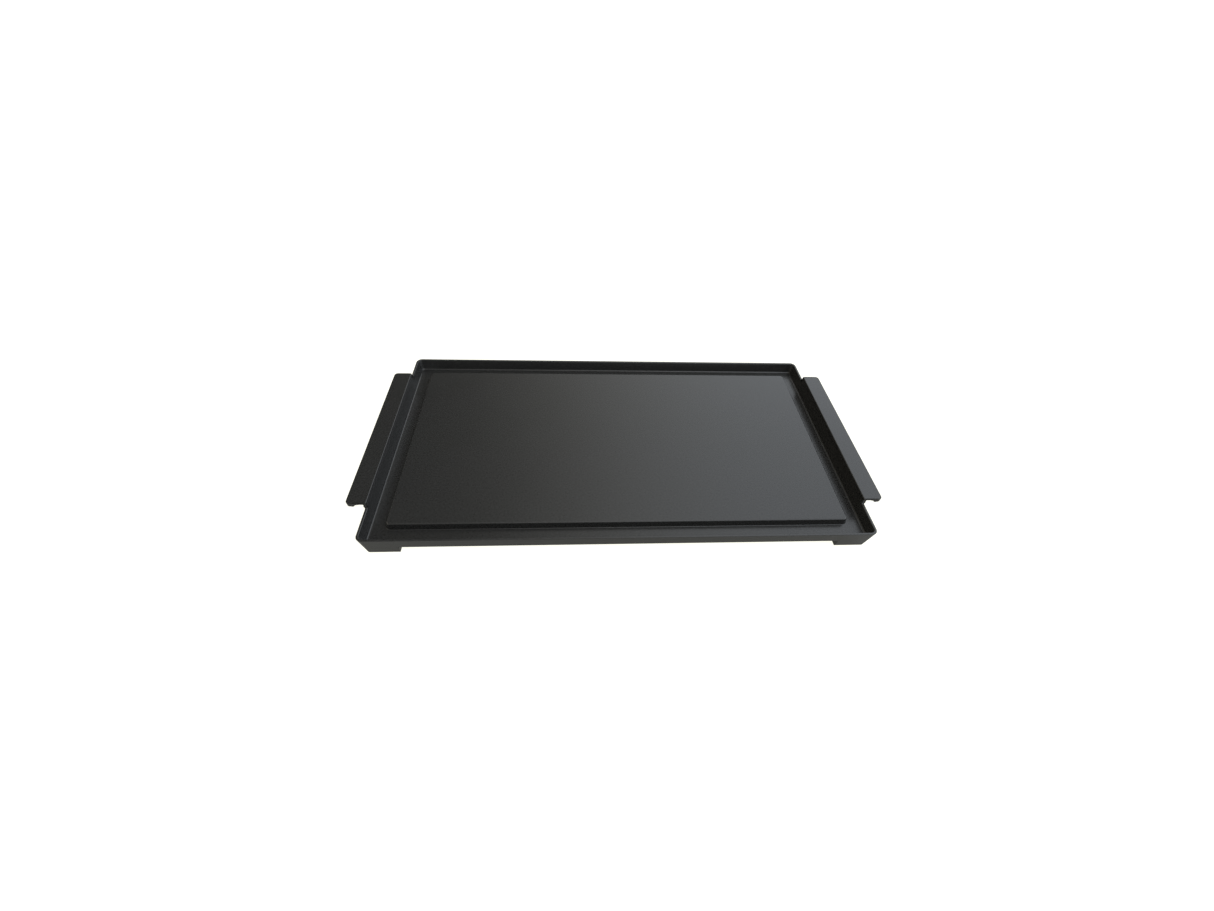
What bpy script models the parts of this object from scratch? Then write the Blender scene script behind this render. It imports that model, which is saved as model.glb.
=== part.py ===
"""Electric griddle: a cast tray with side handles and feet, heated from below.

World frame: metres, +Z up, origin on the table under the middle of the whole
object. X runs from handle to handle and +Y points at the back, where the inlet
is. The sizes and places below are taken from the middle of the tray's rim, and
main() moves every piece by ORIGIN_Y at the end.
"""

import math

import bmesh
import bpy
from mathutils import Matrix, Vector

MM = 0.001

# Clearance kept between touching pieces.
GAP = 0.3 * MM

# Rim of the tray.
RIM_HALF_X = 280.0 * MM
RIM_HALF_Y = 153.7 * MM
RIM_Z = 29.1 * MM
RIM_RADIUS = 7.5 * MM
RIM_WIDTH = 2.8 * MM
CORNER_SEGMENTS = 5

# Walls, drip channel and raised cooking surface.
WALL_BOTTOM_Z = 13.1 * MM
WALL_DRAFT = 2.4 * MM
INNER_WALL_FOOT = 6.0 * MM
CHANNEL_Z = 15.6 * MM
COOK_Z = 24.1 * MM
COOK_INSET = 24.2 * MM
COOK_RADIUS = 4.0 * MM
STEP_DRAFT = 1.2 * MM

# Hollow under the cooking surface, which holds the heater.
PLATE_THICKNESS = 3.0 * MM
CEILING_Z = COOK_Z - PLATE_THICKNESS
HOLLOW_INSET = 27.4 * MM
HOLLOW_DRAFT = 0.8 * MM
HOLLOW_RADIUS = 7.0 * MM

# Handles, cast in one piece with the short walls.
HANDLE_Z = 36.9 * MM
HANDLE_REACH = 19.2 * MM
HANDLE_HALF_LENGTH = 110.8 * MM
HANDLE_THICKNESS = 3.0 * MM
HANDLE_CORNER = 4.0 * MM
LIP_DEPTH = 5.8 * MM
LIP_WIDTH = 5.0 * MM

# Feet: corner legs that carry on the outer walls down to the table.
FOOT_BOTTOM_Z = 1.2 * MM
FOOT_LENGTH_X = 40.5 * MM
FOOT_LENGTH_Y = 36.0 * MM
FOOT_THICKNESS = 6.0 * MM
FOOT_STEP = 0.05 * MM
PAD_INSET = 16.0 * MM
PAD_BLOCK_HALF = 9.5 * MM
PAD_RADIUS = 6.5 * MM
PAD_HEIGHT = 3.9 * MM

# Tubular heating element, bent in one plane under the cooking surface.
SHEATH_RADIUS = 3.3 * MM
SHEATH_WALL = 0.6 * MM
FILL_RADIUS = 2.2 * MM
FILL_BORE = 1.4 * MM
COIL_RADIUS = 1.0 * MM
ELEMENT_Z = CEILING_Z - GAP - SHEATH_RADIUS
ELEMENT_FAR_X = 222.0 * MM
ELEMENT_NEAR_X = 120.0 * MM
ELEMENT_REAR_Y = 84.0 * MM
ELEMENT_FRONT_Y = -88.0 * MM
ELEMENT_MID_Y = 20.0 * MM
ELEMENT_BEND = 22.0 * MM
ELEMENT_TIGHT_BEND = 14.0 * MM

# Inlet for the plug-in heat control.
INLET_Z = 9.2 * MM
PIN_X = 13.0 * MM
PIN_RADIUS = 1.6 * MM
PIN_END_Y = 159.5 * MM
INSULATOR_RADIUS = 2.6 * MM
SLEEVE_RADIUS = 2.6 * MM
SLEEVE_BORE = 2.1 * MM
HOUSING_HALF_X = 45.0 * MM
HOUSING_FRONT_Y = 97.0 * MM
HOUSING_BOTTOM_Z = 4.0 * MM
HOUSING_WALL = 2.4 * MM
HOUSING_FLOOR_Z = 5.4 * MM
HOUSING_TOP_Z = WALL_BOTTOM_Z - GAP
BLOCK_FRONT_Y = 130.0 * MM
BLOCK_REAR_Y = 146.0 * MM
SOCKET_HALF_X = 33.0 * MM
SOCKET_REAR_Y = 164.0 * MM
SOCKET_TOP_Z = 19.0 * MM
SOCKET_WALL = 2.2 * MM
BORE_GAP = 0.3 * MM

# How far the middle of the whole object lies behind the middle of the rim.
ORIGIN_Y = (SOCKET_REAR_Y - RIM_HALF_Y) / 2.0

# Sheet cover and insulation.
COVER_HALF_X = 250.0 * MM
COVER_HALF_Y = 124.0 * MM
COVER_RADIUS = 30.0 * MM
COVER_BOTTOM_Z = 9.1 * MM
COVER_TOP_Z = 15.6 * MM
SHEET = 0.8 * MM
MAT_HALF_X = 243.0 * MM
MAT_HALF_Y = 117.0 * MM
MAT_BOTTOM_Z = COVER_BOTTOM_Z + SHEET + GAP
MAT_TOP_Z = 12.6 * MM

# Bosses and screws.
SCREW_RADIUS = 1.5 * MM
SCREW_HOLE = SCREW_RADIUS + GAP
HEAD_RADIUS = 2.9 * MM
HEAD_HEIGHT = 1.3 * MM
COVER_BOSS_RADIUS = 4.0 * MM
COVER_BOSS_Z = MAT_BOTTOM_Z
COVER_SCREWS = {
    "rear_right": (234.0 * MM, 106.0 * MM),
    "rear_left": (-234.0 * MM, 106.0 * MM),
    "front_right": (234.0 * MM, -106.0 * MM),
    "front_left": (-234.0 * MM, -106.0 * MM),
    "middle_right": (170.0 * MM, -30.0 * MM),
    "middle_left": (-170.0 * MM, -30.0 * MM),
    "rear_centre": (0.0, 52.0 * MM),
    "front_centre": (0.0, -108.0 * MM),
}
HOUSING_SCREWS = {"left": (-36.0 * MM, 108.0 * MM), "right": (36.0 * MM, 108.0 * MM)}
HOUSING_BOSS_RADIUS = 4.5 * MM
EARTH_SCREW = (24.0 * MM, 105.0 * MM)
CLAMP_BOSS_Z = 18.1 * MM
CLAMP_WIDTH = 12.0 * MM
CLAMP_EAR = 10.0 * MM
# Each clamp: where it is, its place on the element, and its ear's turn about Z.
CLAMPS = [
    ("rear_right", (130.0 * MM, ELEMENT_REAR_Y), -90.0),
    ("rear_left", (-130.0 * MM, ELEMENT_REAR_Y), -90.0),
    ("right", (ELEMENT_FAR_X, 0.0), 180.0),
    ("left", (-ELEMENT_FAR_X, 0.0), 0.0),
    ("front_right", (ELEMENT_NEAR_X, -35.0 * MM), 180.0),
    ("front_left", (-ELEMENT_NEAR_X, -35.0 * MM), 0.0),
    ("centre", (0.0, ELEMENT_MID_Y), -90.0),
]
ROUND_SIDES = 10


def clear_scene():
    """Remove every object that the scene starts with."""
    for old in list(bpy.data.objects):
        bpy.data.objects.remove(old, do_unlink=True)


# Materials ---------------------------------------------------------------


def make_material(name, colour, roughness, metallic):
    """Return a Principled material with these plain values."""
    material = bpy.data.materials.new(name)
    material.use_nodes = True
    shader = material.node_tree.nodes["Principled BSDF"]
    shader.inputs["Base Color"].default_value = (*colour, 1.0)
    shader.inputs["Roughness"].default_value = roughness
    shader.inputs["Metallic"].default_value = metallic
    material.diffuse_color = (*colour, 1.0)
    return material


def nonstick_material():
    return make_material("nonstick_coating", (0.035, 0.035, 0.034), 0.5, 0.0)


def sheath_material():
    return make_material("sheath_steel", (0.28, 0.29, 0.27), 0.45, 1.0)


def magnesia_material():
    return make_material("magnesia", (0.82, 0.80, 0.74), 0.9, 0.0)


def coil_material():
    return make_material("resistance_alloy", (0.45, 0.43, 0.40), 0.4, 1.0)


def steel_material():
    return make_material("plain_steel", (0.62, 0.62, 0.60), 0.35, 1.0)


def ceramic_material():
    return make_material("ceramic", (0.86, 0.84, 0.78), 0.5, 0.0)


def brass_material():
    return make_material("brass", (0.72, 0.55, 0.26), 0.35, 1.0)


def phenolic_material():
    return make_material("phenolic_moulding", (0.03, 0.03, 0.03), 0.45, 0.0)


def mat_material():
    return make_material("glass_fibre_mat", (0.80, 0.78, 0.72), 0.95, 0.0)


def cover_material():
    return make_material("galvanised_sheet", (0.52, 0.53, 0.54), 0.4, 1.0)


def silicone_material():
    return make_material("silicone", (0.045, 0.045, 0.045), 0.7, 0.0)


# Shared mesh tools -------------------------------------------------------


def make_object(name, bm, material):
    """Turn a bmesh into a named object with outward faces."""
    bmesh.ops.recalc_face_normals(bm, faces=bm.faces[:])
    mesh = bpy.data.meshes.new(name)
    bm.to_mesh(mesh)
    bm.free()
    mesh.shade_smooth()
    mesh.set_sharp_from_angle(angle=math.radians(35.0))
    piece = bpy.data.objects.new(name, mesh)
    piece.data.materials.append(material)
    bpy.context.scene.collection.objects.link(piece)
    return piece


def rounded_outline(half_x, half_y, radius, z, segments=CORNER_SEGMENTS):
    """Return the points of a rounded rectangle, anticlockwise from +X +Y."""
    points = []
    for corner in range(4):
        sign_x = 1.0 if corner in (0, 3) else -1.0
        sign_y = 1.0 if corner in (0, 1) else -1.0
        centre_x = sign_x * (half_x - radius)
        centre_y = sign_y * (half_y - radius)
        for step in range(segments + 1):
            angle = math.radians(90.0 * corner + 90.0 * step / segments)
            x = centre_x + radius * math.cos(angle)
            y = centre_y + radius * math.sin(angle)
            points.append(Vector((x, y, z)))
    return points


def circle_outline(radius, z, sides=ROUND_SIDES):
    """Return the points of a circle about Z at height z."""
    turns = [2.0 * math.pi * (side + 0.5) / sides for side in range(sides)]
    return [Vector((radius * math.cos(t), radius * math.sin(t), z)) for t in turns]


def skin(bm, outlines, closed=False):
    """Join outlines of equal length with quads and cap or close the ends."""
    rings = [[bm.verts.new(point) for point in outline] for outline in outlines]
    pairs = list(zip(rings, rings[1:]))
    if closed:
        pairs.append((rings[-1], rings[0]))
    for lower, upper in pairs:
        count = len(lower)
        for index in range(count):
            after = (index + 1) % count
            bm.faces.new((lower[index], lower[after], upper[after], upper[index]))
    if not closed:
        bm.faces.new(list(reversed(rings[0])))
        bm.faces.new(rings[-1])
    return [vert for ring in rings for vert in ring]


def move_verts(bm, verts, turn_z=0.0, offset=(0.0, 0.0, 0.0)):
    """Turn vertices about Z, then shift them."""
    matrix = Matrix.Translation(offset) @ Matrix.Rotation(math.radians(turn_z), 4, "Z")
    bmesh.ops.transform(bm, matrix=matrix, verts=verts)


def add_box(bm, low, high):
    """Add a closed box between two corners."""
    low = Vector(low)
    high = Vector(high)
    centre = (low + high) / 2.0
    size = high - low
    matrix = Matrix.Translation(centre) @ Matrix.Diagonal((*size, 1.0))
    bmesh.ops.create_cube(bm, size=1.0, matrix=matrix)


def add_rod(bm, place, radius, z_low, z_high, sides=ROUND_SIDES):
    """Add a closed vertical rod at an (x, y) place."""
    verts = skin(bm, [circle_outline(radius, z_low, sides), circle_outline(radius, z_high, sides)])
    move_verts(bm, verts, offset=(place[0], place[1], 0.0))


def add_rod_along_y(bm, x, z, radius, y_low, y_high, sides=ROUND_SIDES):
    """Add a closed rod along Y."""
    verts = skin(bm, [circle_outline(radius, -y_high, sides), circle_outline(radius, -y_low, sides)])
    lay_along_y = Matrix.Translation((x, 0.0, z)) @ Matrix.Rotation(math.radians(90.0), 4, "X")
    bmesh.ops.transform(bm, matrix=lay_along_y, verts=verts)


def make_screw(name, place, seat_z, length, material):
    """Build a low-headed screw that points up from its seat."""
    bm = bmesh.new()
    profile = [
        (HEAD_RADIUS * 0.82, seat_z - HEAD_HEIGHT),
        (HEAD_RADIUS, seat_z - HEAD_HEIGHT * 0.6),
        (HEAD_RADIUS, seat_z),
        (SCREW_RADIUS, seat_z),
        (SCREW_RADIUS, seat_z + length - SCREW_RADIUS),
        (SCREW_RADIUS * 0.5, seat_z + length),
    ]
    outlines = [circle_outline(radius, z, 8) for radius, z in profile]
    verts = skin(bm, outlines)
    move_verts(bm, verts, offset=(place[0], place[1], 0.0))
    make_object(name, bm, material)


def apply_boolean(target, bm, operation):
    """Join a bmesh to a target object, or cut it away, and apply the result."""
    bmesh.ops.recalc_face_normals(bm, faces=bm.faces[:])
    mesh = bpy.data.meshes.new("tool")
    bm.to_mesh(mesh)
    bm.free()
    tool = bpy.data.objects.new("tool", mesh)
    bpy.context.scene.collection.objects.link(tool)
    modifier = target.modifiers.new("tool", "BOOLEAN")
    modifier.object = tool
    modifier.operation = operation
    modifier.solver = "EXACT"
    modifier.use_self = True
    evaluated = target.evaluated_get(bpy.context.evaluated_depsgraph_get())
    result = bpy.data.meshes.new_from_object(evaluated)
    target.modifiers.clear()
    old = target.data
    target.data = result
    result.name = target.name
    bpy.data.meshes.remove(old)
    bpy.data.objects.remove(tool, do_unlink=True)


# Casting -----------------------------------------------------------------


def tray_outline(inset, z, radius):
    """Return the rim's outline moved in by inset, at height z."""
    return rounded_outline(RIM_HALF_X - inset, RIM_HALF_Y - inset, radius, z)


def outer_inset(z):
    """Return how far the drafted outer wall stands in from the rim at height z."""
    return WALL_DRAFT * (RIM_Z - z) / (RIM_Z - WALL_BOTTOM_Z)


def tray_sections():
    """Return the outlines from the cooking surface out, over the rim and back under."""
    edge = 0.4 * MM
    fillet = 1.8 * MM
    return [
        tray_outline(COOK_INSET, COOK_Z, COOK_RADIUS),
        tray_outline(COOK_INSET - STEP_DRAFT, CHANNEL_Z, COOK_RADIUS + STEP_DRAFT),
        tray_outline(INNER_WALL_FOOT + fillet, CHANNEL_Z, RIM_RADIUS - INNER_WALL_FOOT),
        tray_outline(INNER_WALL_FOOT - edge, CHANNEL_Z + fillet, RIM_RADIUS - INNER_WALL_FOOT + fillet),
        tray_outline(RIM_WIDTH + edge, RIM_Z - edge, RIM_RADIUS - RIM_WIDTH),
        tray_outline(RIM_WIDTH, RIM_Z, RIM_RADIUS - RIM_WIDTH),
        tray_outline(edge, RIM_Z, RIM_RADIUS - edge),
        tray_outline(0.0, RIM_Z - edge, RIM_RADIUS),
        tray_outline(WALL_DRAFT, WALL_BOTTOM_Z, RIM_RADIUS - WALL_DRAFT),
        tray_outline(HOLLOW_INSET - HOLLOW_DRAFT, WALL_BOTTOM_Z, HOLLOW_RADIUS + HOLLOW_DRAFT),
        tray_outline(HOLLOW_INSET, CEILING_Z, HOLLOW_RADIUS),
    ]


def handle_section(y, trim):
    """Return the handle's outline at one place along Y, its outer edge cut by trim."""
    wall_x = RIM_HALF_X
    outer_x = wall_x + HANDLE_REACH - trim
    under_z = HANDLE_Z - HANDLE_THICKNESS
    lip_z = HANDLE_Z - LIP_DEPTH
    buried_z = 22.6 * MM
    points = [
        (wall_x - 3.8 * MM, buried_z),
        (wall_x - 1.6 * MM, buried_z),
        (wall_x - 0.2 * MM, RIM_Z),
        (wall_x + 0.2 * MM, under_z - 1.6 * MM),
        (wall_x + 1.8 * MM, under_z),
        (outer_x - LIP_WIDTH, under_z),
        (outer_x - LIP_WIDTH + 0.6 * MM, lip_z),
        (outer_x - 0.6 * MM, lip_z),
        (outer_x, lip_z + 0.8 * MM),
        (outer_x, HANDLE_Z - 0.8 * MM),
        (outer_x - 0.8 * MM, HANDLE_Z),
        (wall_x - 2.0 * MM, HANDLE_Z),
        (wall_x - 2.7 * MM, HANDLE_Z - 0.7 * MM),
    ]
    return [Vector((x, y, z)) for x, z in points]


def add_handle(bm, side):
    """Add one handle, side +1 or -1, that overlaps the tray's short wall."""
    stations = []
    for step in range(4):
        angle = math.radians(30.0 * step)
        along = HANDLE_HALF_LENGTH - HANDLE_CORNER * (1.0 - math.sin(angle))
        trim = HANDLE_CORNER * (1.0 - math.cos(angle))
        stations.append((along, trim))
    sections = [handle_section(-along, trim) for along, trim in reversed(stations)]
    sections += [handle_section(along, trim) for along, trim in stations]
    for section in sections:
        for point in section:
            point.x *= side
    skin(bm, sections)


def foot_outline(z, end_trim):
    """Return the L-shaped outline of the leg in the +X +Y corner at height z."""
    inset = outer_inset(z) + FOOT_STEP
    outer_x = RIM_HALF_X - inset
    outer_y = RIM_HALF_Y - inset
    radius = RIM_RADIUS - inset
    end_x = RIM_HALF_X - FOOT_LENGTH_X + end_trim
    end_y = RIM_HALF_Y - FOOT_LENGTH_Y + end_trim
    points = [(outer_x, end_y)]
    for step in range(CORNER_SEGMENTS + 1):
        angle = math.radians(90.0 * step / CORNER_SEGMENTS)
        x = outer_x - radius + radius * math.cos(angle)
        y = outer_y - radius + radius * math.sin(angle)
        points.append((x, y))
    points.append((end_x, outer_y))
    points.append((end_x, outer_y - FOOT_THICKNESS))
    points.append((outer_x - FOOT_THICKNESS, outer_y - FOOT_THICKNESS))
    points.append((outer_x - FOOT_THICKNESS, end_y))
    return [Vector((x, y, z)) for x, y in points]


def add_foot(bm, side_x, side_y):
    """Add one corner leg that overlaps the bottom of the tray's walls."""
    buried_z = WALL_BOTTOM_Z + 1.0 * MM
    outlines = [foot_outline(FOOT_BOTTOM_Z, 1.2 * MM), foot_outline(WALL_BOTTOM_Z, 0.0)]
    top = [Vector((point.x, point.y, buried_z)) for point in outlines[1]]
    inward = 0.6 * MM
    for point in top:
        point.x -= inward
        point.y -= inward
    outlines.append(top)
    for outline in outlines:
        for point in outline:
            point.x *= side_x
            point.y *= side_y
    skin(bm, outlines)


def corner_places():
    """Return (name, side_x, side_y) for the four corners."""
    return [
        ("front_left", -1.0, -1.0),
        ("front_right", 1.0, -1.0),
        ("rear_left", -1.0, 1.0),
        ("rear_right", 1.0, 1.0),
    ]


def pad_place(side_x, side_y):
    """Return the (x, y) centre of the pad in one corner."""
    return (side_x * (RIM_HALF_X - PAD_INSET), side_y * (RIM_HALF_Y - PAD_INSET))


def clamp_screw_place(place, turn):
    """Return the (x, y) of the screw in a clamp's ear."""
    angle = math.radians(turn)
    return (place[0] + CLAMP_EAR * math.cos(angle), place[1] + CLAMP_EAR * math.sin(angle))


def add_bosses(bm):
    """Add the screw bosses and the sensor block under the cooking surface."""
    root_z = CEILING_Z + 0.8 * MM
    for place in COVER_SCREWS.values():
        add_rod(bm, place, COVER_BOSS_RADIUS, COVER_BOSS_Z, root_z)
    for place in [*HOUSING_SCREWS.values(), EARTH_SCREW]:
        add_rod(bm, place, HOUSING_BOSS_RADIUS, WALL_BOTTOM_Z, root_z)
    for _, place, turn in CLAMPS:
        add_rod(bm, clamp_screw_place(place, turn), COVER_BOSS_RADIUS, CLAMP_BOSS_Z, root_z)
    sensor_low = (-4.6 * MM, 101.0 * MM, HOUSING_FLOOR_Z + 0.4 * MM)
    sensor_high = (4.6 * MM, 124.0 * MM, root_z)
    add_box(bm, sensor_low, sensor_high)


def add_boss_holes(bm):
    """Add the cutters of the screw holes, the sensor bore and the pad sockets."""
    hole_top = CEILING_Z + 0.7 * MM
    low = 1.0 * MM
    for place in COVER_SCREWS.values():
        add_rod(bm, place, SCREW_HOLE, COVER_BOSS_Z - low, hole_top, 8)
    for place in [*HOUSING_SCREWS.values(), EARTH_SCREW]:
        add_rod(bm, place, SCREW_HOLE, WALL_BOTTOM_Z - low, hole_top, 8)
    for _, place, turn in CLAMPS:
        add_rod(bm, clamp_screw_place(place, turn), SCREW_HOLE, CLAMP_BOSS_Z - low, hole_top, 8)
    add_rod_along_y(bm, 0.0, INLET_Z, SLEEVE_RADIUS + BORE_GAP, 99.0 * MM, 126.0 * MM)
    for _, side_x, side_y in corner_places():
        place = pad_place(side_x, side_y)
        add_rod(bm, place, PAD_RADIUS + GAP, 0.0, PAD_HEIGHT + GAP, 12)


def make_griddle_plate(material):
    """Build the one-piece casting: tray, handles, legs and bosses."""
    bm = bmesh.new()
    skin(bm, tray_sections())
    plate = make_object("griddle_plate", bm, material)
    for side in (1.0, -1.0):
        bm = bmesh.new()
        add_handle(bm, side)
        apply_boolean(plate, bm, "UNION")
    for _, side_x, side_y in corner_places():
        bm = bmesh.new()
        add_foot(bm, side_x, side_y)
        apply_boolean(plate, bm, "UNION")
    bm = bmesh.new()
    for _, side_x, side_y in corner_places():
        x, y = pad_place(side_x, side_y)
        low = (x - PAD_BLOCK_HALF, y - PAD_BLOCK_HALF, FOOT_BOTTOM_Z + 0.2 * MM)
        add_box(bm, low, (x + PAD_BLOCK_HALF, y + PAD_BLOCK_HALF, WALL_BOTTOM_Z + 1.2 * MM))
    apply_boolean(plate, bm, "UNION")
    bm = bmesh.new()
    add_bosses(bm)
    apply_boolean(plate, bm, "UNION")
    bm = bmesh.new()
    add_boss_holes(bm)
    apply_boolean(plate, bm, "DIFFERENCE")
    plate.data.shade_smooth()
    plate.data.set_sharp_from_angle(angle=math.radians(35.0))
    return plate


# Heating element ---------------------------------------------------------


def rounded_path(corners):
    """Return points along straight runs whose corners are arcs.

    Each corner is a point and the radius of its bend; the ends have radius 0.
    """
    path = [corners[0][0]]
    for (before, _), (corner, radius), (after, _) in zip(corners, corners[1:], corners[2:]):
        to_before = (before - corner).normalized()
        to_after = (after - corner).normalized()
        half = to_before.angle(to_after) / 2.0
        start = corner + to_before * radius / math.tan(half)
        middle = (to_before + to_after).normalized()
        centre = corner + middle * radius / math.sin(half)
        sweep = math.pi - 2.0 * half
        steps = max(2, round(math.degrees(sweep) / 30.0))
        arm = start - centre
        axis = arm.cross(-to_before)
        for step in range(steps + 1):
            turn = Matrix.Rotation(sweep * step / steps, 3, axis)
            path.append(centre + turn @ arm)
    path.append(corners[-1][0])
    return path


def element_path():
    """Return the centre line of the element, from the left end to the right end."""
    end_y = BLOCK_FRONT_Y - 2.0 * GAP
    drop_bend = 10.0 * MM
    half = [
        (Vector((PIN_X, end_y, INLET_Z)), 0.0),
        (Vector((PIN_X, 115.0 * MM, INLET_Z)), drop_bend),
        (Vector((PIN_X, 103.0 * MM, ELEMENT_Z)), drop_bend),
        (Vector((PIN_X, ELEMENT_REAR_Y, ELEMENT_Z)), ELEMENT_TIGHT_BEND),
        (Vector((ELEMENT_FAR_X, ELEMENT_REAR_Y, ELEMENT_Z)), ELEMENT_BEND),
        (Vector((ELEMENT_FAR_X, ELEMENT_FRONT_Y, ELEMENT_Z)), ELEMENT_BEND),
        (Vector((ELEMENT_NEAR_X, ELEMENT_FRONT_Y, ELEMENT_Z)), ELEMENT_BEND),
        (Vector((ELEMENT_NEAR_X, ELEMENT_MID_Y, ELEMENT_Z)), ELEMENT_BEND),
    ]
    other = [(Vector((-point.x, point.y, point.z)), radius) for point, radius in half]
    return rounded_path(other + list(reversed(half)))


def sweep_outlines(path, radius, sides):
    """Return one circle of points across each point of a path."""
    outlines = []
    count = len(path)
    for index, point in enumerate(path):
        before = path[max(index - 1, 0)]
        after = path[min(index + 1, count - 1)]
        along = (after - before).normalized()
        across = along.cross(Vector((0.0, 0.0, 1.0))).normalized()
        up = across.cross(along).normalized()
        ring = []
        for side in range(sides):
            angle = 2.0 * math.pi * (side + 0.5) / sides
            ring.append(point + across * radius * math.cos(angle) + up * radius * math.sin(angle))
        outlines.append(ring)
    return outlines


def make_hollow_sweep(name, path, outer, inner, sides, material):
    """Build a tube with open ends and a real wall along a path."""
    bm = bmesh.new()
    outside = sweep_outlines(path, outer, sides)
    inside = sweep_outlines(path, inner, sides)
    skin(bm, outside + list(reversed(inside)), closed=True)
    return make_object(name, bm, material)


def make_element():
    """Build the sheath, its packed powder and the resistance coil's envelope."""
    path = element_path()
    sheath_bore = SHEATH_RADIUS - SHEATH_WALL
    make_hollow_sweep("element_sheath", path, SHEATH_RADIUS, sheath_bore, 8, sheath_material())
    magnesia = magnesia_material()
    make_hollow_sweep("element_magnesia_fill", path, FILL_RADIUS, FILL_BORE, 6, magnesia)
    bm = bmesh.new()
    skin(bm, sweep_outlines(path, COIL_RADIUS, 6))
    make_object("element_resistance_coil", bm, coil_material())


def clamp_outline():
    """Return the strap's outline across the element, with its ear towards +X."""
    under = ELEMENT_Z - SHEATH_RADIUS
    ear_low = CLAMP_BOSS_Z - GAP - SHEET
    ear_high = CLAMP_BOSS_Z - GAP
    top = CEILING_Z - 0.4 * MM
    return [
        (15.0 * MM, ear_low),
        (4.9 * MM, ear_low),
        (4.9 * MM, under - 0.3 * MM),
        (4.0 * MM, under - 1.2 * MM),
        (-4.0 * MM, under - 1.2 * MM),
        (-4.9 * MM, under - 0.3 * MM),
        (-4.9 * MM, top),
        (-4.1 * MM, top),
        (-4.1 * MM, under + 0.1 * MM),
        (-3.6 * MM, under - 0.4 * MM),
        (3.6 * MM, under - 0.4 * MM),
        (4.1 * MM, under + 0.1 * MM),
        (4.1 * MM, ear_high),
        (15.0 * MM, ear_high),
    ]


def make_clamp(name, place, turn, material):
    """Build one strap that holds the element up against the casting."""
    outlines = []
    for y in (-CLAMP_WIDTH / 2.0, CLAMP_WIDTH / 2.0):
        outlines.append([Vector((x, y, z)) for x, z in clamp_outline()])
    bm = bmesh.new()
    verts = skin(bm, outlines)
    move_verts(bm, verts, turn, (place[0], place[1], 0.0))
    clamp = make_object(name, bm, material)
    bm = bmesh.new()
    add_rod(bm, clamp_screw_place(place, turn), SCREW_HOLE, 0.0, CEILING_Z, 8)
    apply_boolean(clamp, bm, "DIFFERENCE")


def make_clamps(material):
    """Build every strap of the element, each with its screw."""
    seat = CLAMP_BOSS_Z - GAP - SHEET - GAP
    length = CEILING_Z + 0.3 * MM - seat
    for where, place, turn in CLAMPS:
        make_clamp("element_clamp_" + where, place, turn, material)
        screw_place = clamp_screw_place(place, turn)
        make_screw("clamp_screw_" + where, screw_place, seat, length, material)


# Inlet -------------------------------------------------------------------


def make_pins(pin_steel):
    """Build the two terminal pins and the ceramic insulators round them."""
    ceramic = ceramic_material()
    front_y = BLOCK_FRONT_Y - GAP
    for side_name, side in (("left", -1.0), ("right", 1.0)):
        tip = PIN_END_Y - PIN_RADIUS
        pin_rings = [
            circle_outline(PIN_RADIUS * 0.5, -PIN_END_Y),
            circle_outline(PIN_RADIUS, -tip),
            circle_outline(PIN_RADIUS, -front_y),
        ]
        insulator_rings = [
            circle_outline(INSULATOR_RADIUS, -BLOCK_REAR_Y),
            circle_outline(INSULATOR_RADIUS, -front_y),
            circle_outline(PIN_RADIUS + BORE_GAP, -front_y),
            circle_outline(PIN_RADIUS + BORE_GAP, -BLOCK_REAR_Y),
        ]
        lay_along_y = Matrix.Rotation(math.radians(90.0), 4, "X")
        shift = Matrix.Translation((side * PIN_X, 0.0, INLET_Z))
        bm = bmesh.new()
        skin(bm, pin_rings)
        bmesh.ops.transform(bm, matrix=shift @ lay_along_y, verts=bm.verts[:])
        make_object("terminal_pin_" + side_name, bm, pin_steel)
        bm = bmesh.new()
        skin(bm, insulator_rings, closed=True)
        bmesh.ops.transform(bm, matrix=shift @ lay_along_y, verts=bm.verts[:])
        make_object("pin_insulator_" + side_name, bm, ceramic)


def make_sensor_sleeve(material):
    """Build the tube that takes the control's sensing rod."""
    front_y = 102.0 * MM
    bm = bmesh.new()
    rings = [
        circle_outline(SLEEVE_RADIUS, -BLOCK_REAR_Y),
        circle_outline(SLEEVE_RADIUS, -front_y),
        circle_outline(SLEEVE_BORE, -front_y),
        circle_outline(SLEEVE_BORE, -BLOCK_REAR_Y),
    ]
    skin(bm, rings, closed=True)
    lay_along_y = Matrix.Translation((0.0, 0.0, INLET_Z)) @ Matrix.Rotation(math.radians(90.0), 4, "X")
    bmesh.ops.transform(bm, matrix=lay_along_y, verts=bm.verts[:])
    make_object("sensor_sleeve", bm, material)


def make_earth_contact(brass, steel):
    """Build the earth blade, screwed to the casting, and its screw."""
    x, y = EARTH_SCREW
    half = 2.5 * MM
    pad_z = WALL_BOTTOM_Z - GAP
    blade_z = INLET_Z + SHEET / 2.0
    drop_y = y + 5.0 * MM
    run_y = drop_y + 4.0 * MM
    side = [
        (y - 4.5 * MM, pad_z),
        (drop_y, pad_z),
        (run_y, blade_z),
        (PIN_END_Y - 1.5 * MM, blade_z),
        (PIN_END_Y - 1.5 * MM, blade_z - SHEET),
        (run_y - 0.4 * MM, blade_z - SHEET),
        (drop_y - 0.4 * MM, pad_z - SHEET),
        (y - 4.5 * MM, pad_z - SHEET),
    ]
    bm = bmesh.new()
    skin(bm, [[Vector((x + offset, py, pz)) for py, pz in side] for offset in (-half, half)])
    blade = make_object("earth_contact", bm, brass)
    bm = bmesh.new()
    add_rod(bm, EARTH_SCREW, SCREW_HOLE, 0.0, CEILING_Z, 8)
    apply_boolean(blade, bm, "DIFFERENCE")
    make_screw("earth_contact_screw", EARTH_SCREW, pad_z - SHEET - GAP, 6.0 * MM, steel)


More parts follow.
